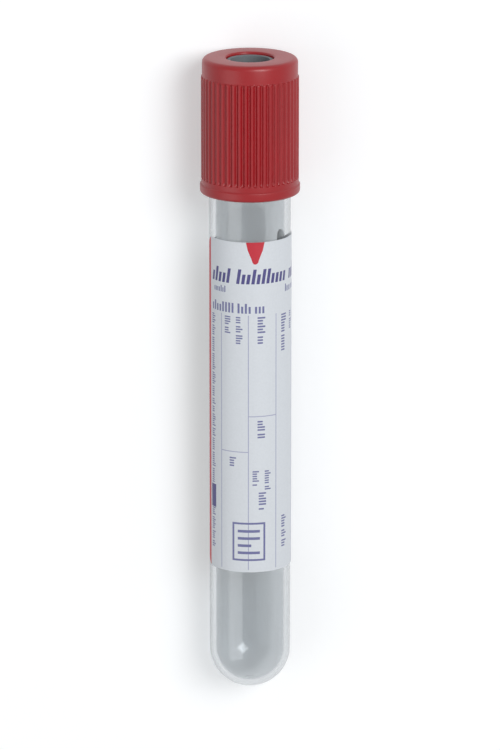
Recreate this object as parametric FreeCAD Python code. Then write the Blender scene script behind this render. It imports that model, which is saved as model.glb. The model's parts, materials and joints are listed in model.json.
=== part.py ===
import FreeCAD, Part
import math
import os

# Capped blood collection tube, in millimetres: a clear plastic tube with a round end, a paper
# label, and a pull-off closure made of a rubber stopper carried in a fluted plastic shield.
#
# Every piece is drawn upright round the Z axis, from the tube's round tip at Z = 0 to the
# closure's flat top. The label's middle line and one rib face -Y.

# Tube, one moulding
tube_d = 13.0  # outside diameter of the straight wall
tube_wall = 1.0
tube_length = 100.0  # round tip to rim
rim_round = 0.3  # on the rim's inner and outer edges

# Stopper, one rubber moulding
plug_clearance = 0.05  # between the plug and the tube's bore, all round
plug_length = 9.0  # below the rim
plug_wall = 2.0  # rubber round the hollow underside
plug_round = 0.6
rim_gap = 0.02  # between the rim and the head that sits on it
head_overhang = 0.45  # how far the head stands out past the tube, all round
head_height = 2.9
head_round = 0.4
well_d = 6.2  # blind well for the needle, in the top
well_depth = 3.0
well_round = 0.3
septum = 3.8  # rubber between the well's floor and the hollow's roof
roof_round = 1.4
collar_wall = 0.6  # rubber lip round the well, standing up in the shield's hole
collar_recess = 0.4  # the lip's edge lies this far under the closure's flat top
collar_round = 0.15

# Shield, one moulding
skirt_clearance = 0.15  # between the tube and the skirt, all round
skirt_wall = 1.1  # from the skirt's bore to the ribs' crests
skirt_depth = 17.8  # how far the skirt reaches down from the tube's rim
seat_gap = 0.05  # round the stopper's head in its pocket
top_wall = 1.05
hole_clearance = 0.1  # between the lip and the hole it stands in
hole_round = 0.3
hem_height = 1.6  # smooth bead round the skirt's open edge
hem_step = 0.2  # how far the bead stands out past the ribs' crests
hem_round = 0.5
hem_plain = 0.8  # plain wall between the bead and the flutes
lead_in = 0.2  # on the skirt's inner edge
crown_height = 2.9  # smooth band under the flat top
crown_step = 0.15  # how far the band lies inside the ribs' crests
crown_round = 0.8
rib_count = 48
rib_land = 0.35  # width of each rib's crest
flute_depth = 0.35

# Label, paper
label_thickness = 0.1
glue_line = 0.02
label_to_skirt = 6.7  # bare wall between the label and the closure
label_to_round = 14.5  # bare wall between the label and the round end
window_width = 17.5  # bare strip down the wall, where the label's side edges stop
label_corner = 1.5

# Sizes that follow
tube_r = tube_d / 2
bore_r = tube_r - tube_wall
rim = tube_length
plug_r = bore_r - plug_clearance
plug_bottom = rim - plug_length
hollow_r = plug_r - plug_wall
head_r = tube_r + head_overhang
head_bottom = rim + rim_gap
head_top = head_bottom + head_height
well_r = well_d / 2
collar_r = well_r + collar_wall
shield_top = head_top + seat_gap + top_wall
collar_top = shield_top - collar_recess
well_floor = collar_top - well_depth
hollow_roof = well_floor - septum
skirt_r = tube_r + skirt_clearance
crest_r = skirt_r + skirt_wall
hem_r = crest_r + hem_step
crown_r = crest_r - crown_step
pocket_r = head_r + seat_gap
ledge = head_bottom - seat_gap
hole_r = collar_r + hole_clearance
skirt_edge = rim - skirt_depth
hem_top = skirt_edge + hem_height
flute_base = hem_top + hem_plain
crown_base = shield_top - crown_height
label_top = skirt_edge - label_to_skirt
label_bottom = tube_r + label_to_round


def outline(*corners):
    """A closed face in the XZ plane through (radius, height, rounding) corners in order."""
    points = [FreeCAD.Vector(radius, 0, height) for radius, height, _ in corners]
    bends = []
    for index, corner in enumerate(points):
        rounding = corners[index][2]
        back = (points[index - 1] - corner).normalize()
        ahead = (points[(index + 1) % len(points)] - corner).normalize()
        half_angle = back.getAngle(ahead) / 2
        run = rounding / math.tan(half_angle)
        depth = rounding / math.sin(half_angle) - rounding
        middle = corner + (back + ahead).normalize() * depth
        bends.append((corner + back * run, middle, corner + ahead * run))
    edges = []
    for index, (start, middle, end) in enumerate(bends):
        last_end = bends[index - 1][2]
        if last_end.distanceToPoint(start) > 1e-6:
            edges.append(Part.LineSegment(last_end, start).toShape())
        if corners[index][2]:
            edges.append(Part.Arc(start, middle, end).toShape())
    return Part.Face(Part.Wire(edges))


def turned(*corners, angle=360):
    """The solid that the outline sweeps round the Z axis."""
    return outline(*corners).revolve(FreeCAD.Vector(0, 0, 0), FreeCAD.Vector(0, 0, 1), angle)


def spun(shape, angle):
    """A copy of a shape, turned about the Z axis by an angle in degrees."""
    copy = shape.copy()
    copy.rotate(FreeCAD.Vector(0, 0, 0), FreeCAD.Vector(0, 0, 1), angle)
    return copy


def tube():
    """Straight wall with a hemispherical end, even in thickness all the way round."""
    rim_edge = min(rim_round, 0.4 * tube_wall)
    return turned(
        (0, 0, 0),
        (tube_r, 0, tube_r),
        (tube_r, rim, rim_edge),
        (bore_r, rim, rim_edge),
        (bore_r, tube_wall, bore_r),
        (0, tube_wall, 0),
    )


def stopper():
    """Plug, head and lip in one, with a blind well above the septum and a hollow below it."""
    plug_edge = min(plug_round, 0.4 * plug_wall)
    return turned(
        (0, hollow_roof, 0),
        (hollow_r, hollow_roof, min(roof_round, 0.5 * hollow_r)),
        (hollow_r, plug_bottom, 0),
        (plug_r, plug_bottom, plug_edge),
        (plug_r, head_bottom, 0),
        (head_r, head_bottom, 0),
        (head_r, head_top, head_round),
        (collar_r, head_top, 0),
        (collar_r, collar_top, collar_round),
        (well_r, collar_top, collar_round),
        (well_r, well_floor, well_round),
        (0, well_floor, 0),
    )


def flute_half_angle():
    """Half the angle between two neighbouring ribs' crests, in radians."""
    return math.pi / rib_count - rib_land / 2 / crest_r


def flute():
    """The round-bottomed channel cut between two ribs, with its middle towards +Y."""
    half = flute_half_angle()
    across = crest_r * math.sin(half)
    edge = crest_r * math.cos(half)
    bottom = crest_r - flute_depth
    left = FreeCAD.Vector(-across, edge, flute_base)
    right = FreeCAD.Vector(across, edge, flute_base)
    deepest = FreeCAD.Vector(0, bottom, flute_base)
    outer = crest_r + flute_depth
    far_right = FreeCAD.Vector(across, outer, flute_base)
    far_left = FreeCAD.Vector(-across, outer, flute_base)
    edges = [
        Part.Arc(left, deepest, right).toShape(),
        Part.LineSegment(right, far_right).toShape(),
        Part.LineSegment(far_right, far_left).toShape(),
        Part.LineSegment(far_left, left).toShape(),
    ]
    return Part.Face(Part.Wire(edges)).extrude(FreeCAD.Vector(0, 0, crown_base - flute_base))


def shield():
    """Ribbed skirt with a smooth bead and a smooth crown, a pocket for the stopper's head, and a
    holed top."""
    hem_wall = hem_r - skirt_r
    crown_edge = min(crown_round, top_wall)
    body = turned(
        (skirt_r, skirt_edge, min(lead_in, 0.25 * hem_wall)),
        (hem_r, skirt_edge, min(hem_round, 0.6 * hem_wall)),
        (hem_r, hem_top - hem_step, 0),
        (crest_r, hem_top, 0),
        (crest_r, crown_base - crown_step, 0),
        (crown_r, crown_base, 0),
        (crown_r, shield_top, crown_edge),
        (hole_r, shield_top, min(hole_round, 0.4 * top_wall)),
        (hole_r, head_top + seat_gap, 0),
        (pocket_r, head_top + seat_gap, 0),
        (pocket_r, ledge, 0),
        (skirt_r, ledge, 0),
    )
    pitch = 360 / rib_count
    flutes = [spun(flute(), (index + 0.5) * pitch) for index in range(rib_count)]
    return body.cut(flutes).Solids[0]


def corner_cutter(outer_r, side, end):
    """What rounds off one corner of the label, for a corner whose arc is centred on +X: a square
    with a quarter disc left out, run through the wall. side and end are 1 or -1, the directions
    of the corner round Z and along it."""
    reach = 2 * label_corner
    low = FreeCAD.Vector(outer_r / 2, min(0, side * reach), min(0, end * reach))
    block = Part.makeBox(outer_r, reach, reach, low)
    axis_start = FreeCAD.Vector(outer_r / 2, 0, 0)
    disc = Part.makeCylinder(label_corner, outer_r, axis_start, FreeCAD.Vector(1, 0, 0))
    return block.cut(disc)


def label():
    """Paper wrapped round the straight wall, with rounded corners and a bare window strip."""
    inner_r = tube_r + glue_line
    outer_r = inner_r + label_thickness
    wrap = 360 - math.degrees(window_width / tube_r)
    sheet = turned(
        (inner_r, label_bottom, 0),
        (outer_r, label_bottom, 0),
        (outer_r, label_top, 0),
        (inner_r, label_top, 0),
        angle=wrap,
    )
    inset = math.degrees(math.asin(label_corner / outer_r))
    cutters = []
    for side, turn in ((1, wrap - inset), (-1, inset)):
        for end, height in ((1, label_top - label_corner), (-1, label_bottom + label_corner)):
            cutter = spun(corner_cutter(outer_r, side, end), turn)
            cutters.append(cutter.translated(FreeCAD.Vector(0, 0, height)))
    first_edge = -90 - wrap / 2
    return spun(sheet.cut(cutters).Solids[0], first_edge)


pieces = {
    "tube": tube(),
    "stopper": stopper(),
    "shield": shield(),
    "label": label(),
}

os.makedirs("parts", exist_ok=True)
for name, piece in pieces.items():
    piece.exportStep(f"parts/{name}.step")
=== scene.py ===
"""Looks of a capped blood collection tube that lies on its side: clear wall, printed paper label,
rubber stopper and fluted shield. Laid out as an add-on and run as a script."""

import json
import math
import random

import bpy
from mathutils import Matrix, Vector
from mathutils.geometry import delaunay_2d_cdt

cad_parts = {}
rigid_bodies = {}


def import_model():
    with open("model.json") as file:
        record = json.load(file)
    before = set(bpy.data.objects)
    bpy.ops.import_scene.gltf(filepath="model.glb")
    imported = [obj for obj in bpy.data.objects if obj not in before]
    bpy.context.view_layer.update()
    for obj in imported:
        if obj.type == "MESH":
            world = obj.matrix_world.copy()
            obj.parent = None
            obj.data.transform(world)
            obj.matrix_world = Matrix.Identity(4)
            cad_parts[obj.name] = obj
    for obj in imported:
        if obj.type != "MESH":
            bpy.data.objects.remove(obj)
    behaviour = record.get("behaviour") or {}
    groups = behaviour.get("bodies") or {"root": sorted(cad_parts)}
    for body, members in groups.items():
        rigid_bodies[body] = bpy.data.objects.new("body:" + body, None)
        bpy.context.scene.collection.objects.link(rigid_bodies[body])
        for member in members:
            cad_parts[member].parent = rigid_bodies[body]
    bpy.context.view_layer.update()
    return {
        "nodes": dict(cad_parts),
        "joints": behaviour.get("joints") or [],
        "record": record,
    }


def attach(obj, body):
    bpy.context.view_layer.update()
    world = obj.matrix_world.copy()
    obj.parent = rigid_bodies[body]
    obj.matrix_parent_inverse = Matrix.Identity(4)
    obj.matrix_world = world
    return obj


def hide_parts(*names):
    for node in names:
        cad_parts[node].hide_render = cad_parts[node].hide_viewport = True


bl_info = {
    "name": "Blood Collection Tube",
    "version": (1, 0, 0),
    "blender": (4, 5, 0),
    "location": "View3D > Sidebar > Tube",
    "description": "Makes a capped blood collection tube with its label, and a plain studio",
    "category": "Add Mesh",
}

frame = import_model()

MM = 0.001

# How finely pieces are cut
ROUND_POINTS = 192  # round a turned piece
RIB_POINTS = 16  # round the shield, for each rib
BOWL_STEPS = 40  # along the round end's arc
BEND_STEP = 0.25  # millimetres round the tube between the label's points
DOWN_STEP = 1.5  # millimetres down the tube between the label's points
CORNER_STEPS = 8  # along each of the label's corners

EDGE_STEPS = 6  # along each rounded edge of a turned piece
SHARP_EDGE = math.radians(35)  # faces that meet at more than this show an edge
RUN_OUT_STEPS = (0, 0.1, 0.2, 0.3, 0.42, 0.58, 0.75, 1)  # shares of a channel's run-out

# Small sizes that serve the making, in millimetres
SAME_POINT = 1e-5  # points nearer than this are one
SKIN = 0.003  # how far the shield's outermost faces lie inside the CAD's, so that none stands out
SHADING_RING = 0.1  # from the ribs' ends to a plain ring that keeps their shading off the bands
RIB_SOFTNESS = 0.03  # how far a channel's edges are eased
MOULD_EDGE = 0.05  # radius of the edges that a mould leaves sharp

# Every mesh is drawn upright in millimetres, with its axis on Z, the tube's round tip at 0 and its
# front towards -Y, and is then laid down by LYING, which turns the front up and the closure to +Y.
AXIS = Vector(frame["joints"][0]["axis"]).normalized()
RIGHT = Vector((1, 0, 0))
FRONT = RIGHT.cross(AXIS)
MOUNTS = {mount["name"]: mount for mount in frame["record"]["mounts"]}
ON_AXIS = Vector(MOUNTS["tube_body"]["pos_m"])
TUBE_BODY, CLOSURE_BODY = (frame["joints"][0][end] for end in ("parent", "child"))


def measured(node):
    """Each point of a CAD node as (radius, height along the axis, angle from the front towards
    +X), in millimetres and radians. Heights start at the mount on the tube's wall."""
    found = []
    for vertex in frame["nodes"][node].data.vertices:
        out = vertex.co - ON_AXIS
        height = out.dot(AXIS)
        across, up = out.dot(RIGHT), out.dot(FRONT)
        found.append((math.hypot(across, up) / MM, height / MM, math.atan2(across, up)))
    return found


def least(node, column):
    return min(point[column] for point in measured(node))


def most(node, column):
    return max(point[column] for point in measured(node))


def label_sides():
    """The angles of the label's left edge and of its middle line."""
    angles = sorted(angle for _, _, angle in measured("label"))
    angles.append(angles[0] + 2 * math.pi)
    window, left = max((after - before, after) for before, after in zip(angles, angles[1:]))
    left = (left + math.pi) % (2 * math.pi) - math.pi
    return left, left + (2 * math.pi - window) / 2


RADIUS, HEIGHT = 0, 1
TIP = least("tube", HEIGHT)
LABEL_LEFT, LABEL_MIDDLE = label_sides()
LYING = Matrix.Translation(ON_AXIS + AXIS * TIP * MM)
LYING @= Matrix((RIGHT, -FRONT, AXIS)).transposed().to_4x4()
LYING @= Matrix.Scale(MM, 4)


def srgb(hex_colour):
    """An sRGB hex colour as linear red, green, blue and alpha."""
    channels = [int(hex_colour[place : place + 2], 16) / 255 for place in (1, 3, 5)]
    curve = [c / 12.92 if c <= 0.04045 else ((c + 0.055) / 1.055) ** 2.4 for c in channels]
    return (*curve, 1.0)


def length(name, default, description):
    """A size in millimetres that the user can change."""
    return bpy.props.FloatProperty(
        name=name, description=description, default=default, min=0.0, precision=3
    )


def colour(name, default, description):
    return bpy.props.FloatVectorProperty(
        name=name,
        description=description,
        subtype="COLOR",
        size=4,
        min=0.0,
        max=1.0,
        default=srgb(default),
    )


class TubeSizes(bpy.types.PropertyGroup):
    """The clear wall, in millimetres."""

    radius: length("Radius", most("tube", RADIUS), "Outside radius of the straight wall")
    rim: length("Length", most("tube", HEIGHT) - TIP, "From the round tip to the rim")
    wall: length("Wall", 1.0, "Thickness of the wall")
    rim_round: length("Rim edge", 0.3, "Radius of the rim's inner and outer edges")
    gate_radius: length("Gate", 0.9, "Radius of the mark where the mould was filled")
    gate_step: length("Gate step", 0.06, "Height of the flat pip in the gate's shallow ring")
    tint: colour("Tint", "#DADDDF", "Colour that white light takes on in the wall")
    lamp_share: bpy.props.FloatProperty(
        name="Lamp light",
        description="Share of the lamps' light that passes each face of the wall",
        subtype="FACTOR",
        default=0.8,
        min=0.0,
        max=1.0,
    )


class LabelSizes(bpy.types.PropertyGroup):
    """The paper label and its print, in millimetres."""

    outer_radius: length("Radius", most("label", RADIUS), "Radius of the printed face")
    thickness: length("Thickness", 0.1, "Thickness of the paper")
    bottom: length("Bottom", least("label", HEIGHT) - TIP, "Lower edge above the round tip")
    top: length("Top", most("label", HEIGHT) - TIP, "Upper edge above the round tip")
    corner: length("Corner", 1.5, "Radius of the corners")
    stripe: length("Stripe", 1.0, "Width of the red stripe down the left edge")
    header: length("Header", 11.9, "Height of the headed field above the ruled columns")
    first_rule: length("First rule", 3.95, "From the left edge to the first ruled line")
    column: length("Column", 4.72, "Width of a ruled column")
    rule: length("Rule", 0.14, "Width of a ruled line")
    arrow_middle: length("Arrow", 9.85, "From the left edge to the middle of the red arrow")
    arrow_width: length("Arrow width", 3.0, "Width of the arrow at the label's edge")
    arrow_height: length("Arrow height", 3.6, "Height of the arrow")
    paper: colour("Paper", "#D8DDE3", "Colour of the bare paper")
    ink: colour("Ink", "#4A477F", "Colour of the heavy print")
    fine_ink: colour("Fine ink", "#6C6F9B", "Colour of the small print")
    rule_ink: colour("Rule ink", "#A3A6C2", "Colour of the ruled lines")
    red: colour("Red", "#BE2536", "Colour of the arrow and the edge stripe")


class ShieldSizes(bpy.types.PropertyGroup):
    """The fluted shield, in millimetres."""

    hem_radius: length("Radius", most("shield", RADIUS) - SKIN, "Radius over the hem's bead")
    bore_radius: length("Bore", 6.65, "Radius inside the skirt")
    edge: length("Edge", least("shield", HEIGHT) - TIP, "Skirt's open edge above the round tip")
    top: length("Top", most("shield", HEIGHT) - TIP - SKIN, "Flat top above the round tip")
    hole_radius: length("Hole", least("shield", RADIUS), "Radius of the hole in the top")
    hem: length("Hem", 1.6, "Height of the smooth bead at the open edge")
    hem_step: length("Hem step", 0.2, "How far the bead stands out past the ribs")
    hem_round: length("Hem edge", 0.5, "Radius of the bead's lower edge")
    hem_plain: length("Plain wall", 0.8, "Height of the plain wall between the bead and the ribs")
    lead_in: length("Lead-in", 0.2, "Radius of the skirt's inner edge")
    crown: length("Crown", 2.9, "Height of the smooth band under the top")
    crown_step: length("Crown step", 0.15, "How far that band lies inside the ribs")
    crown_round: length("Crown edge", 0.8, "Radius of the top's outer edge")
    hole_round: length("Hole edge", 0.3, "Radius of the hole's edge")
    seat_gap: length("Seat gap", 0.05, "Room round the stopper's head in its pocket")
    bead_round: length("Bead edge", 0.15, "Radius of the bead's upper edge")
    flute_depth: length("Flute", 0.35, "Depth of the channels between the ribs")
    run_out: length("Run-out", 0.6, "Length over which a channel fades out at each end")
    land: length("Land", 0.35, "Width of a rib's crest")
    ribs: bpy.props.IntProperty(name="Ribs", description="Number of ribs", default=48, min=3)
    red: colour("Red", "#990713", "Colour of the moulded plastic")


class StopperSizes(bpy.types.PropertyGroup):
    """The rubber stopper, in millimetres."""

    head_radius: length("Head", most("stopper", RADIUS), "Radius of the head")
    bottom: length("Bottom", least("stopper", HEIGHT) - TIP, "Plug's end above the round tip")
    top: length("Top", most("stopper", HEIGHT) - TIP, "Lip's edge above the round tip")
    plug_radius: length("Plug", 5.45, "Radius of the plug")
    plug_wall: length("Plug wall", 2.0, "Rubber round the hollow underside")
    head_bottom: length("Head's seat", 100.02, "Underside of the head above the round tip")
    head_height: length("Head height", 2.9, "Height of the head")
    well_radius: length("Well", 3.1, "Radius of the needle well")
    well_depth: length("Well depth", 3.0, "Depth of the needle well")
    lip_wall: length("Lip", 0.6, "Thickness of the lip round the well")
    septum: length("Septum", 3.8, "Rubber under the well")
    roof_round: length("Roof edge", 1.4, "Radius of the hollow's inner end")
    mouth_round: length("Hollow's mouth", 0.2, "Radius of the hollow's open edge")
    plug_round: length("Plug edge", 0.6, "Radius of the plug's end")
    head_round: length("Head edge", 0.4, "Radius of the head's upper edge")
    lip_round: length("Lip edge", 0.15, "Radius of the lip's edges")
    well_round: length("Well edge", 0.3, "Radius of the well's floor")
    grey: colour("Grey", "#6E7478", "Colour of the rubber")


class StudioLooks(bpy.types.PropertyGroup):
    """Floor, lamps and camera."""

    floor: colour("Floor", "#E4E6E8", "Colour of the floor")
    floor_lift: bpy.props.FloatProperty(
        name="Floor lift",
        description="What takes the floor up to white where it is seen",
        default=0.32,
        min=0.0,
    )
    room: bpy.props.FloatProperty(
        name="Room light",
        description="Strength of the soft light from all round",
        default=0.36,
        min=0.0,
    )
    turn: bpy.props.FloatProperty(
        name="Camera turn",
        description="From the label's middle line to the camera, round the tube",
        subtype="ANGLE",
        default=math.radians(-25),
    )
    rise: bpy.props.FloatProperty(
        name="Camera rise",
        description="How far the camera stands towards the closure, off the tube's square view",
        subtype="ANGLE",
        default=math.radians(15.5),
    )
    distance: bpy.props.FloatProperty(
        name="Distance", description="From the camera to the tube", unit="LENGTH", default=0.9
    )
    view_height: bpy.props.FloatProperty(
        name="View height",
        description="What the frame takes in at the tube",
        unit="LENGTH",
        default=0.12,
    )


def rounded(corners):
    """The points of a profile through (radius, height, rounding) corners, with each rounded corner
    turned into an arc of that radius."""
    points = []
    last = len(corners) - 1
    for index, (radius, height, rounding) in enumerate(corners):
        corner = Vector((radius, height))
        if not rounding or index in (0, last):
            points.append(corner)
            continue
        back = (Vector(corners[index - 1][:2]) - corner).normalized()
        ahead = (Vector(corners[index + 1][:2]) - corner).normalized()
        half = back.angle(ahead) / 2
        centre = corner + (back + ahead).normalized() * rounding / math.sin(half)
        first = corner + back * rounding / math.tan(half) - centre
        final = corner + ahead * rounding / math.tan(half) - centre
        for step in range(EDGE_STEPS + 1):
            points.append(centre + first.slerp(final, step / EDGE_STEPS) * rounding)
    tidy = points[:1]
    for point in points[1:]:
        if (point - tidy[-1]).length > SAME_POINT:
            tidy.append(point)
    return tidy


def turned(profile, angles, radius_at=None):
    """Vertices and faces of a profile swept round Z through these angles. A point on the axis is
    made once. radius_at(radius, height, angle) may change a point's radius."""
    vertices, rings, faces = [], [], []
    for radius, height in profile:
        if radius < SAME_POINT:
            rings.append([len(vertices)] * len(angles))
            vertices.append((0, 0, height))
            continue
        rings.append(list(range(len(vertices), len(vertices) + len(angles))))
        for angle in angles:
            out = radius_at(radius, height, angle) if radius_at else radius
            vertices.append((out * math.sin(angle), -out * math.cos(angle), height))
    for below, above in zip(rings, rings[1:]):
        for here in range(len(angles)):
            there = (here + 1) % len(angles)
            corners = (below[here], below[there], above[there], above[here])
            face = tuple(dict.fromkeys(corners))
            if len(face) > 2:
                faces.append(face)
    return vertices, faces


def even_angles(count):
    return [2 * math.pi * index / count for index in range(count)]


def piece(name, body, node, vertices, faces, materials, marks=None):
    """A shown piece laid in the frame, riding on its body and standing for its CAD node. marks
    gives each face's material by its place in materials."""
    mesh = bpy.data.meshes.new(name)
    mesh.from_pydata(vertices, [], faces)
    mesh.transform(LYING)
    for material in materials:
        mesh.materials.append(material)
    mesh.polygons.foreach_set("use_smooth", [True] * len(mesh.polygons))
    if marks:
        mesh.polygons.foreach_set("material_index", marks)
    mesh.set_sharp_from_angle(angle=SHARP_EDGE)
    made = bpy.data.objects.new(name, mesh)
    bpy.context.scene.collection.objects.link(made)
    weighted = made.modifiers.new("even shading", "WEIGHTED_NORMAL")
    weighted.keep_sharp = True
    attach(made, body)
    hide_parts(node)
    return made


def add(tree, kind, inputs=None, **settings):
    """A new node with its settings, and each input either set or linked."""
    made = tree.nodes.new(kind)
    for name, value in settings.items():
        setattr(made, name, value)
    for name, value in (inputs or {}).items():
        if isinstance(value, bpy.types.NodeSocket):
            tree.links.new(value, made.inputs[name])
        else:
            made.inputs[name].default_value = value
    return made


def blank(name):
    """A material with an empty node tree and its output."""
    made = bpy.data.materials.new(name)
    made.use_nodes = True
    made.node_tree.nodes.clear()
    return made, made.node_tree, made.node_tree.nodes.new("ShaderNodeOutputMaterial")


def shades(tree, mixed_by, base, spread):
    """A colour that wanders between a little darker and a little lighter than the base."""
    dark, light = (tuple(min(1, c * k) for c in base[:3]) + (1,) for k in (1 - spread, 1 + spread))
    mixed = add(tree, "ShaderNodeMixRGB", {"Fac": mixed_by, "Color1": dark, "Color2": light})
    return mixed.outputs["Color"]


def clear_pet(sizes):
    """Injection-moulded PET: hard, clear and glossy, a little grey through two walls. It lets most
    of the lamps' light through to what it holds. Light that is caught in the wall, mirrored again
    and again, is let out, so that the rim stays clear instead of turning black."""
    made, tree, output = blank("clear moulded PET")
    surface = add(
        tree,
        "ShaderNodeBsdfPrincipled",
        {
            "Base Color": sizes.tint,
            "Roughness": 0.03,
            "IOR": 1.575,
            "Transmission Weight": 1.0,
        },
    )
    rays = add(tree, "ShaderNodeLightPath").outputs
    mirrorings = 1.5  # more than one
    caught = add(
        tree, "ShaderNodeMath", {0: rays["Glossy Depth"], 1: mirrorings}, operation="GREATER_THAN"
    )
    let_through = add(
        tree,
        "ShaderNodeMath",
        {0: rays["Is Shadow Ray"], 1: sizes.lamp_share, 2: caught.outputs[0]},
        operation="MULTIPLY_ADD",
        use_clamp=True,
    )
    open_way = add(tree, "ShaderNodeBsdfTransparent", {"Color": sizes.tint})
    wall = add(
        tree,
        "ShaderNodeMixShader",
        {0: let_through.outputs[0], 1: surface.outputs["BSDF"], 2: open_way.outputs["BSDF"]},
    )
    tree.links.new(wall.outputs["Shader"], output.inputs["Surface"])
    return made


def moulded_shield(sizes):
    """Polyethylene moulded in a fine-spark-eroded tool: satin, so ribs catch soft light."""
    made, tree, output = blank("red moulded polyethylene")
    place = add(tree, "ShaderNodeTexCoord").outputs["Object"]
    grain_mm = 0.12
    grain = add(
        tree,
        "ShaderNodeTexNoise",
        {"Vector": place, "Scale": 1 / (grain_mm * MM), "Detail": 2.0},
    )
    flow_mm = 6.0
    flow = add(
        tree,
        "ShaderNodeTexNoise",
        {"Vector": place, "Scale": 1 / (flow_mm * MM), "Detail": 3.0},
    )
    gloss = add(
        tree,
        "ShaderNodeMapRange",
        {"Value": grain.outputs["Fac"], "To Min": 0.3, "To Max": 0.42},
    )
    bump = add(
        tree,
        "ShaderNodeBump",
        {"Height": grain.outputs["Fac"], "Strength": 0.15, "Distance": 0.01 * MM},
    )
    surface = add(
        tree,
        "ShaderNodeBsdfPrincipled",
        {
            "Base Color": shades(tree, flow.outputs["Fac"], sizes.red, 0.1),
            "Roughness": gloss.outputs["Result"],
            "Normal": bump.outputs["Normal"],
            "IOR": 1.51,
        },
    )
    tree.links.new(surface.outputs["BSDF"], output.inputs["Surface"])
    return made


def butyl_rubber(sizes):
    """Moulded butyl rubber: grey, dull, with a dusty bloom."""
    made, tree, output = blank("grey moulded butyl rubber")
    place = add(tree, "ShaderNodeTexCoord").outputs["Object"]
    grit_mm = 0.2
    grit = add(
        tree,
        "ShaderNodeTexNoise",
        {"Vector": place, "Scale": 1 / (grit_mm * MM), "Detail": 4.0},
    )
    bump = add(
        tree,
        "ShaderNodeBump",
        {"Height": grit.outputs["Fac"], "Strength": 0.3, "Distance": 0.02 * MM},
    )
    surface = add(
        tree,
        "ShaderNodeBsdfPrincipled",
        {
            "Base Color": shades(tree, grit.outputs["Fac"], sizes.grey, 0.2),
            "Roughness": 0.7,
            "Normal": bump.outputs["Normal"],
            "IOR": 1.52,
        },
    )
    tree.links.new(surface.outputs["BSDF"], output.inputs["Surface"])
    return made


def coated_paper(name, base):
    """Machine-coated label paper: pale, faintly fibrous, with a soft sheen. Ink takes the same
    sheen, so each ink is this paper in its own colour."""
    made, tree, output = blank(name)
    place = add(tree, "ShaderNodeTexCoord").outputs["Object"]
    fibre_mm = 0.35
    fibre = add(
        tree,
        "ShaderNodeTexNoise",
        {"Vector": place, "Scale": 1 / (fibre_mm * MM), "Detail": 3.0},
    )
    surface = add(
        tree,
        "ShaderNodeBsdfPrincipled",
        {
            "Base Color": shades(tree, fibre.outputs["Fac"], base, 0.05),
            "Roughness": 0.45,
            "IOR": 1.5,
        },
    )
    tree.links.new(surface.outputs["BSDF"], output.inputs["Surface"])
    return made


PAPER, INK, FINE_INK, RULE_INK, RED = range(5)


def block(left, top, width, height):
    """A rectangle on the label, its sides divided so that it bends with the paper."""
    right, bottom = left + width, top + height
    across = max(1, math.ceil(width / BEND_STEP))
    down = max(1, math.ceil(height / DOWN_STEP))
    points = [(left + width * step / across, top) for step in range(across)]
    points += [(right, top + height * step / down) for step in range(down)]
    points += [(right - width * step / across, bottom) for step in range(across)]
    points += [(left, bottom - height * step / down) for step in range(down)]
    return points


def small_print(chance, left, top, run, size):
    """Marks that stand for a line of small print: short strokes in groups, with no letters. A
    positive run goes to the right and a negative one goes down the label, with the strokes' feet
    to the left."""
    marks, along = [], 0.0
    stroke, pitch, gap = 0.2 * size, 0.35 * size, 0.25 * size
    while along < abs(run) - stroke:
        for _ in range(chance.randint(3, 8)):
            tall = size * chance.choice((0.66, 0.66, 0.95))
            if run > 0:
                marks.append(block(left + along, top + size - tall, stroke, tall))
            else:
                marks.append(block(left, top + along, tall, stroke))
            along += pitch
            if along > abs(run) - stroke:
                break
        along += gap
    return marks


def heading(chance, left, foot, groups, size):
    """Leaning bars in groups, which stand for the heavy print of a heading."""
    marks, along = [], left
    bar, lean, pitch, gap = 0.22 * size, 0.15 * size, 0.34 * size, 0.4 * size
    for count in groups:
        for _ in range(count):
            tall = size * chance.choice((0.66, 0.66, 1.0))
            slant = lean * tall / size
            marks.append(
                [
                    (along + slant, foot - tall),
                    (along + slant + bar, foot - tall),
                    (along + bar, foot),
                    (along, foot),
                ]
            )
            along += pitch
        along += gap
    return marks


def open_frame(left, top, width, height, line):
    """The four sides of an empty rectangle."""
    return [
        block(left, top, width, line),
        block(left, top + height - line, width, line),
        block(left, top + line, line, height - 2 * line),
        block(left + width - line, top + line, line, height - 2 * line),
    ]


# The arrow's right side from the label's edge to its blunt end, as shares of its half width and
# its height
ARROW_SIDE = ((1, 0), (0.82, 0.35), (0.4, 0.78), (0.3, 0.92), (0.15, 0.985))


def arrow(middle, width, height):
    """A triangle that points down from the label's upper edge, with a blunt end."""
    half = width / 2
    side = [(across * half, down * height) for across, down in ARROW_SIDE]
    right = [(middle + across, down) for across, down in side]
    left = [(middle - across, down) for across, down in reversed(side)]
    return right + [(middle, height)] + left + [(middle, 0)]


# The print, in millimetres from the label's upper left corner. Headings are (left, foot, bars in
# each group, size). Lines of small print are (left, top, run, size), with a negative run for print
# that goes down the label. Bars are (left, top, width, height).
PRINT_SEED = 11  # which strokes are tall
RULES = 5
RULES_END = 0.4  # from the ruled lines to the label's lower edge
HEADINGS = ((1.7, 6.8, (5, 11, 4), 2.4),)
SMALL_PRINT = (
    (1.8, 9.9, 9.6, 1.7),
    (2.3, 7.3, 2.9, 1.1),
    (15.6, 7.4, 3.6, 1.3),
    (1.55, 12.3, -39.0, 1.0),
    (4.7, 12.2, -2.9, 1.1),
    (6.7, 12.2, -4.9, 1.15),
    (10.2, 12.2, -4.9, 1.35),
    (14.6, 12.2, -6.2, 1.3),
    (17.0, 12.2, -3.4, 1.0),
    (10.2, 29.3, -3.3, 1.3),
    (5.6, 35.4, -2.1, 1.2),
    (9.4, 37.6, -2.6, 1.1),
    (11.4, 37.6, -3.4, 1.1),
    (10.4, 41.2, -3.2, 1.3),
    (14.7, 45.6, -5.6, 1.25),
)
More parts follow.
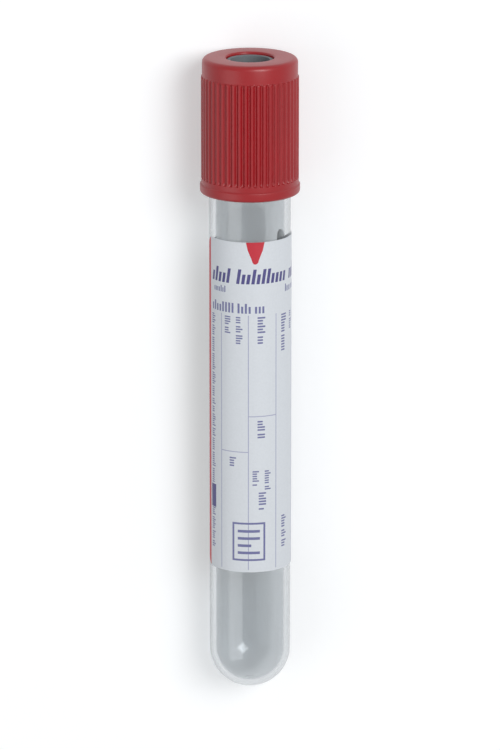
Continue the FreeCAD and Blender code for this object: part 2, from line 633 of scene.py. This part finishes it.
BARS = ((1.35, 40.6, 1.3, 3.8),)
CROSS_LINES = ((1, 28.5), (0, 34.4))  # (column, top)
FIELD = (6.1, 46.2, 5.4, 6.4)  # a framed field of bars at the foot
FIELD_LINE = 0.32
FIELD_BARS = ((0.9, 3.6), (2.1, 3.6), (3.3, 2.2), (4.5, 3.6))  # (below the frame's top, width)
FIELD_BAR = 0.45  # height of each
FIELD_INSET = 0.9  # from the frame's left side to its bars


def label_print(sizes, height):
    """Every printed mark as (outline, ink)."""
    chance = random.Random(PRINT_SEED)
    shown = []

    def put(marks, ink):
        shown.extend((mark, ink) for mark in marks)

    put([block(0, 0, sizes.stripe, height)], RED)
    put([arrow(sizes.arrow_middle, sizes.arrow_width, sizes.arrow_height)], RED)
    for left, foot, groups, size in HEADINGS:
        put(heading(chance, left, foot, groups, size), INK)
    rules = [sizes.first_rule + sizes.column * index for index in range(RULES)]
    for left in rules:
        put([block(left, sizes.header, sizes.rule, height - sizes.header - RULES_END)], RULE_INK)
    for column, top in CROSS_LINES:
        left, width = rules[column] + sizes.rule, sizes.column - sizes.rule
        put([block(left, top, width, sizes.rule)], RULE_INK)
    for left, top, run, size in SMALL_PRINT:
        put(small_print(chance, left, top, run, size), FINE_INK)
    put([block(*bar) for bar in BARS], INK)
    put(open_frame(*FIELD, FIELD_LINE), FINE_INK)
    for down, width in FIELD_BARS:
        left, top = FIELD[0] + FIELD_INSET, FIELD[1] + down + FIELD_LINE
        put([block(left, top, width, FIELD_BAR)], FINE_INK)
    return shown


def label_outline(width, height, corner):
    """The label's edge, with round corners and its ends divided so that they bend with it."""
    points = []
    for middle_x, middle_y, start in (
        (corner, corner, math.pi),
        (width - corner, corner, 1.5 * math.pi),
        (width - corner, height - corner, 0),
        (corner, height - corner, 0.5 * math.pi),
    ):
        for step in range(CORNER_STEPS + 1):
            angle = start + math.pi / 2 * step / CORNER_STEPS
            points.append(
                (middle_x + corner * math.cos(angle), middle_y + corner * math.sin(angle))
            )
    divided = []
    for here, there in zip(points, points[1:] + points[:1]):
        parts = max(1, round(abs(there[0] - here[0]) / BEND_STEP))
        for part in range(parts):
            share = part / parts
            divided.append(
                (here[0] + (there[0] - here[0]) * share, here[1] + (there[1] - here[1]) * share)
            )
    return divided


class TUBE_OT_wall(bpy.types.Operator):
    """Makes the clear tube, with its round end, plain rim and gate mark"""

    bl_idname = "tube.wall"
    bl_label = "Clear tube"

    def execute(self, context):
        sizes = context.scene.tube_wall
        outer, wall, rim = sizes.radius, sizes.wall, sizes.rim
        gate = sizes.gate_radius
        start = math.asin(gate / outer)
        pip = outer - outer * math.cos(start)
        ring = pip + sizes.gate_step
        pip_edge, ring_start, ring_end = 0.4 * gate, 0.5 * gate, 0.9 * gate
        outside = [(0, pip), (pip_edge, pip), (ring_start, ring), (ring_end, ring)]
        for step in range(BOWL_STEPS + 1):
            angle = start + (math.pi / 2 - start) * step / BOWL_STEPS
            outside.append((outer * math.sin(angle), outer - outer * math.cos(angle)))
        edges = rounded(
            [
                (outer, outer, 0),
                (outer, rim, sizes.rim_round),
                (outer - wall, rim, sizes.rim_round),
                (outer - wall, outer, 0),
            ]
        )
        bore = outer - wall
        inside = []
        for step in range(BOWL_STEPS + 1):
            angle = math.pi / 2 * (1 - step / BOWL_STEPS)
            inside.append((bore * math.sin(angle), outer - bore * math.cos(angle)))
        profile = [Vector(point) for point in outside] + edges[1:-1]
        profile += [Vector(point) for point in inside]
        profile[-1].x = 0
        vertices, faces = turned(profile, even_angles(ROUND_POINTS))
        piece("clear_tube", TUBE_BODY, "tube", vertices, faces, [clear_pet(sizes)])
        return {"FINISHED"}


class TUBE_OT_label(bpy.types.Operator):
    """Makes the wrapped paper label with generic print in its surface"""

    bl_idname = "tube.label"
    bl_label = "Paper label"

    def execute(self, context):
        sizes = context.scene.tube_label
        outer = sizes.outer_radius
        width = 2 * (LABEL_MIDDLE - LABEL_LEFT) * outer
        height = sizes.top - sizes.bottom
        marks = [(label_outline(width, height, sizes.corner), PAPER)]
        marks += label_print(sizes, height)
        points, areas = [], []
        for shape, _ in marks:
            areas.append(list(range(len(points), len(points) + len(shape))))
            points += [Vector(point) for point in shape]
        across, down = round(width / BEND_STEP), round(height / DOWN_STEP)
        for column in range(1, across):
            for row in range(1, down):
                points.append(Vector((width * column / across, height * row / down)))
        inside_areas, same = 1, 1e-4
        flat, _, triangles, _, _, origins = delaunay_2d_cdt(
            points, [], areas, inside_areas, same
        )
        kept, inks = [], []
        for triangle, sources in zip(triangles, origins):
            if 0 in sources:
                kept.append(tuple(triangle))
                inks.append(marks[max(sources)][1])
        vertices = []
        for radius in (outer, outer - sizes.thickness):
            for x, y in flat:
                angle = LABEL_LEFT + x / outer
                vertices.append(
                    (radius * math.sin(angle), -radius * math.cos(angle), sizes.top - y)
                )
        count = len(flat)
        edges = {}  # a dictionary, because it keeps its order
        for triangle in kept:
            edges.update(dict.fromkeys(zip(triangle, triangle[1:] + triangle[:1])))
        rim = [(a, b) for a, b in edges if (b, a) not in edges]
        faces = [tuple(reversed(triangle)) for triangle in kept]
        faces += [tuple(index + count for index in triangle) for triangle in kept]
        faces += [(a, b, b + count, a + count) for a, b in rim]
        inks += [PAPER] * (len(faces) - len(inks))
        materials = [
            coated_paper("white coated paper", sizes.paper),
            coated_paper("blue ink on coated paper", sizes.ink),
            coated_paper("fine blue ink on coated paper", sizes.fine_ink),
            coated_paper("pale ruling ink on coated paper", sizes.rule_ink),
            coated_paper("red ink on coated paper", sizes.red),
        ]
        piece(
            "paper_label", TUBE_BODY, "label", vertices, faces, materials, inks
        )
        return {"FINISHED"}


class TUBE_OT_stopper(bpy.types.Operator):
    """Makes the rubber stopper with its plug, head, lip and needle well"""

    bl_idname = "tube.stopper"
    bl_label = "Rubber stopper"

    def execute(self, context):
        sizes = context.scene.tube_stopper
        hollow = sizes.plug_radius - sizes.plug_wall
        lip = sizes.well_radius + sizes.lip_wall
        floor = sizes.top - sizes.well_depth
        head_top = sizes.head_bottom + sizes.head_height
        profile = rounded(
            [
                (0, floor - sizes.septum, 0),
                (hollow, floor - sizes.septum, sizes.roof_round),
                (hollow, sizes.bottom, sizes.mouth_round),
                (sizes.plug_radius, sizes.bottom, sizes.plug_round),
                (sizes.plug_radius, sizes.head_bottom, MOULD_EDGE),
                (sizes.head_radius, sizes.head_bottom, MOULD_EDGE),
                (sizes.head_radius, head_top, sizes.head_round),
                (lip, head_top, MOULD_EDGE),
                (lip, sizes.top, sizes.lip_round),
                (sizes.well_radius, sizes.top, sizes.lip_round),
                (sizes.well_radius, floor, sizes.well_round),
                (0, floor, 0),
            ]
        )
        vertices, faces = turned(profile, even_angles(ROUND_POINTS))
        material = butyl_rubber(sizes)
        piece("rubber_stopper", CLOSURE_BODY, "stopper", vertices, faces, [material])
        return {"FINISHED"}


class TUBE_OT_shield(bpy.types.Operator):
    """Makes the red shield: fluted skirt, smooth hem and crown, pocket and holed top"""

    bl_idname = "tube.shield"
    bl_label = "Fluted shield"

    def execute(self, context):
        sizes = context.scene.tube_shield
        stopper = context.scene.tube_stopper
        crest = sizes.hem_radius - sizes.hem_step
        crown = crest - sizes.crown_step
        hem_top, crown_base = sizes.edge + sizes.hem, sizes.top - sizes.crown
        flute_base = hem_top + sizes.hem_plain
        ceiling = stopper.head_bottom + stopper.head_height + sizes.seat_gap
        pocket = stopper.head_radius + sizes.seat_gap
        ledge = stopper.head_bottom - sizes.seat_gap
        run_out = sizes.run_out
        steps = [run_out * share for share in RUN_OUT_STEPS]
        flutes = [(crest, flute_base + step) for step in steps]
        flutes += [(min(crest, crown + step), crown_base - step) for step in reversed(steps)]
        flutes += [(crown, crown_base + SHADING_RING)]
        hem = rounded(
            [
                (sizes.bore_radius, ledge, 0),
                (sizes.bore_radius, sizes.edge, sizes.lead_in),
                (sizes.hem_radius, sizes.edge, sizes.hem_round),
                (sizes.hem_radius, hem_top - sizes.hem_step, sizes.bead_round),
                (crest, hem_top, 0),
                (crest, flute_base - SHADING_RING, 0),
                (crest, flute_base, 0),
            ]
        )
        top = rounded(
            [
                (crown, crown_base, 0),
                (crown, sizes.top, sizes.crown_round),
                (sizes.hole_radius, sizes.top, sizes.hole_round),
                (sizes.hole_radius, ceiling, MOULD_EDGE),
                (pocket, ceiling, MOULD_EDGE),
                (pocket, ledge, MOULD_EDGE),
                (sizes.bore_radius, ledge, 0),
            ]
        )
        profile = hem[:-1] + [Vector(point) for point in flutes] + top[1:]
        pitch = 2 * math.pi / sizes.ribs
        half = pitch / 2 - sizes.land / 2 / crest

        def fluted(radius, height, angle):
            """The radius between the hem and the crown, where channels are sunk between ribs."""
            if radius < crown - RIB_SOFTNESS or not flute_base <= height <= crown_base:
                return radius
            away = (angle - LABEL_MIDDLE) % pitch - pitch / 2
            sunk = sizes.flute_depth * (1 - (away / half) ** 2)
            sunk = (sunk + math.hypot(sunk, RIB_SOFTNESS)) / 2
            share = min(1.0, min(height - flute_base, crown_base - height) / run_out)
            return min(radius, crest - sunk * math.sqrt(1 - (1 - share) ** 2))

        angles = [LABEL_MIDDLE + angle for angle in even_angles(RIB_POINTS * sizes.ribs)]
        vertices, faces = turned(profile, angles, fluted)
        material = moulded_shield(sizes)
        piece("fluted_shield", CLOSURE_BODY, "shield", vertices, faces, [material])
        return {"FINISHED"}


# Each lamp's name, place in metres, width in metres and power in watts
LAMPS = (
    ("key", (0.45, 0.35, 0.9), 0.5, 6.5),
    ("fill", (-0.7, -0.2, 0.7), 0.7, 1.6),
)
FLOOR_REACH = 3.0  # metres from the tube to the floor's sides


def seen_plainly(tree):
    """1 where the camera meets the surface, straight, by gloss or through clear plastic, and 0 for
    light on its way to something matt, so that a white background adds no light."""
    rays = add(tree, "ShaderNodeLightPath").outputs
    straight = add(
        tree,
        "ShaderNodeMath",
        {0: rays["Is Camera Ray"], 1: rays["Is Glossy Ray"]},
        operation="ADD",
    )
    shown = add(
        tree,
        "ShaderNodeMath",
        {0: straight.outputs[0], 1: rays["Is Transmission Ray"]},
        operation="ADD",
        use_clamp=True,
    )
    direct = add(
        tree, "ShaderNodeMath", {0: rays["Diffuse Depth"], 1: 0.5}, operation="LESS_THAN"
    )
    plain = add(
        tree,
        "ShaderNodeMath",
        {0: shown.outputs[0], 1: direct.outputs[0]},
        operation="MULTIPLY",
    )
    return plain.outputs[0]


class TUBE_OT_studio(bpy.types.Operator):
    """Makes the pale floor, the soft lamps, the world and the camera"""

    bl_idname = "tube.studio"
    bl_label = "Plain studio"

    def execute(self, context):
        scene = context.scene
        looks = scene.tube_studio
        middle = LYING @ Vector((0, 0, scene.tube_shield.top / 2))

        made, tree, output = blank("pale studio floor")
        lift = add(
            tree, "ShaderNodeMapRange", {"Value": seen_plainly(tree), "To Max": looks.floor_lift}
        )
        matt = add(tree, "ShaderNodeBsdfDiffuse", {"Color": looks.floor})
        glow = add(tree, "ShaderNodeEmission", {"Strength": lift.outputs["Result"]})
        both = add(tree, "ShaderNodeAddShader", {0: matt.outputs[0], 1: glow.outputs[0]})
        tree.links.new(both.outputs[0], output.inputs["Surface"])
        mesh = bpy.data.meshes.new("floor")
        signs = ((-1, -1), (1, -1), (1, 1), (-1, 1))
        corners = [(x * FLOOR_REACH, y * FLOOR_REACH, 0) for x, y in signs]
        mesh.from_pydata(corners, [], [(0, 1, 2, 3)])
        mesh.materials.append(made)
        floor = bpy.data.objects.new("floor", mesh)
        scene.collection.objects.link(floor)

        for name, place, size, power in LAMPS:
            lamp = bpy.data.lights.new(name, "AREA")
            lamp.size = size
            lamp.energy = power
            made = bpy.data.objects.new(name, lamp)
            made.location = place
            aim = middle - Vector(place)
            made.rotation_euler = aim.to_track_quat("-Z", "Y").to_euler()
            scene.collection.objects.link(made)

        world = bpy.data.worlds.new("soft white room")
        world.use_nodes = True
        tree = world.node_tree
        tree.nodes.clear()
        output = tree.nodes.new("ShaderNodeOutputWorld")
        strength = add(
            tree,
            "ShaderNodeMapRange",
            {"Value": seen_plainly(tree), "To Min": looks.room, "To Max": 1.0},
        )
        sky = add(
            tree,
            "ShaderNodeBackground",
            {"Color": (1, 1, 1, 1), "Strength": strength.outputs["Result"]},
        )
        tree.links.new(sky.outputs[0], output.inputs["Surface"])
        scene.world = world
        scene.view_settings.view_transform = "Standard"

        camera = bpy.data.cameras.new("camera")
        camera.sensor_fit = "VERTICAL"
        camera.sensor_height = 36.0
        camera.lens = camera.sensor_height * looks.distance / looks.view_height
        made = bpy.data.objects.new("camera", camera)
        side = LABEL_MIDDLE + looks.turn
        facing = FRONT * math.cos(side) + RIGHT * math.sin(side)
        right = RIGHT * math.cos(side) - FRONT * math.sin(side)
        outward = facing * math.cos(looks.rise) + AXIS * math.sin(looks.rise)
        turn = Matrix((right, outward.cross(right), outward)).transposed()
        made.matrix_world = Matrix.Translation(middle + outward * looks.distance) @ turn.to_4x4()
        scene.collection.objects.link(made)
        scene.camera = made
        return {"FINISHED"}


class TUBE_PT_panel(bpy.types.Panel):
    """Lists the pieces and their sizes and colours"""

    bl_idname = "TUBE_PT_panel"
    bl_label = "Blood collection tube"
    bl_space_type = "VIEW_3D"
    bl_region_type = "UI"
    bl_category = "Tube"

    def draw(self, context):
        for operator, group in STEPS:
            box = self.layout.box()
            box.operator(operator.bl_idname)
            settings = getattr(context.scene, group)
            for name in settings.bl_rna.properties.keys():
                if name not in ("rna_type", "name"):
                    box.prop(settings, name)


GROUPS = {
    "tube_wall": TubeSizes,
    "tube_label": LabelSizes,
    "tube_stopper": StopperSizes,
    "tube_shield": ShieldSizes,
    "tube_studio": StudioLooks,
}
STEPS = (
    (TUBE_OT_wall, "tube_wall"),
    (TUBE_OT_label, "tube_label"),
    (TUBE_OT_stopper, "tube_stopper"),
    (TUBE_OT_shield, "tube_shield"),
    (TUBE_OT_studio, "tube_studio"),
)
CLASSES = (*GROUPS.values(), *(operator for operator, _ in STEPS), TUBE_PT_panel)


def register():
    for made in CLASSES:
        bpy.utils.register_class(made)
    for name, group in GROUPS.items():
        setattr(bpy.types.Scene, name, bpy.props.PointerProperty(type=group))


def unregister():
    for name in GROUPS:
        delattr(bpy.types.Scene, name)
    for made in reversed(CLASSES):
        bpy.utils.unregister_class(made)


def main():
    register()
    for operator, _ in STEPS:
        family, action = operator.bl_idname.split(".")
        getattr(getattr(bpy.ops, family), action)()


if __name__ == "__main__":
    main()
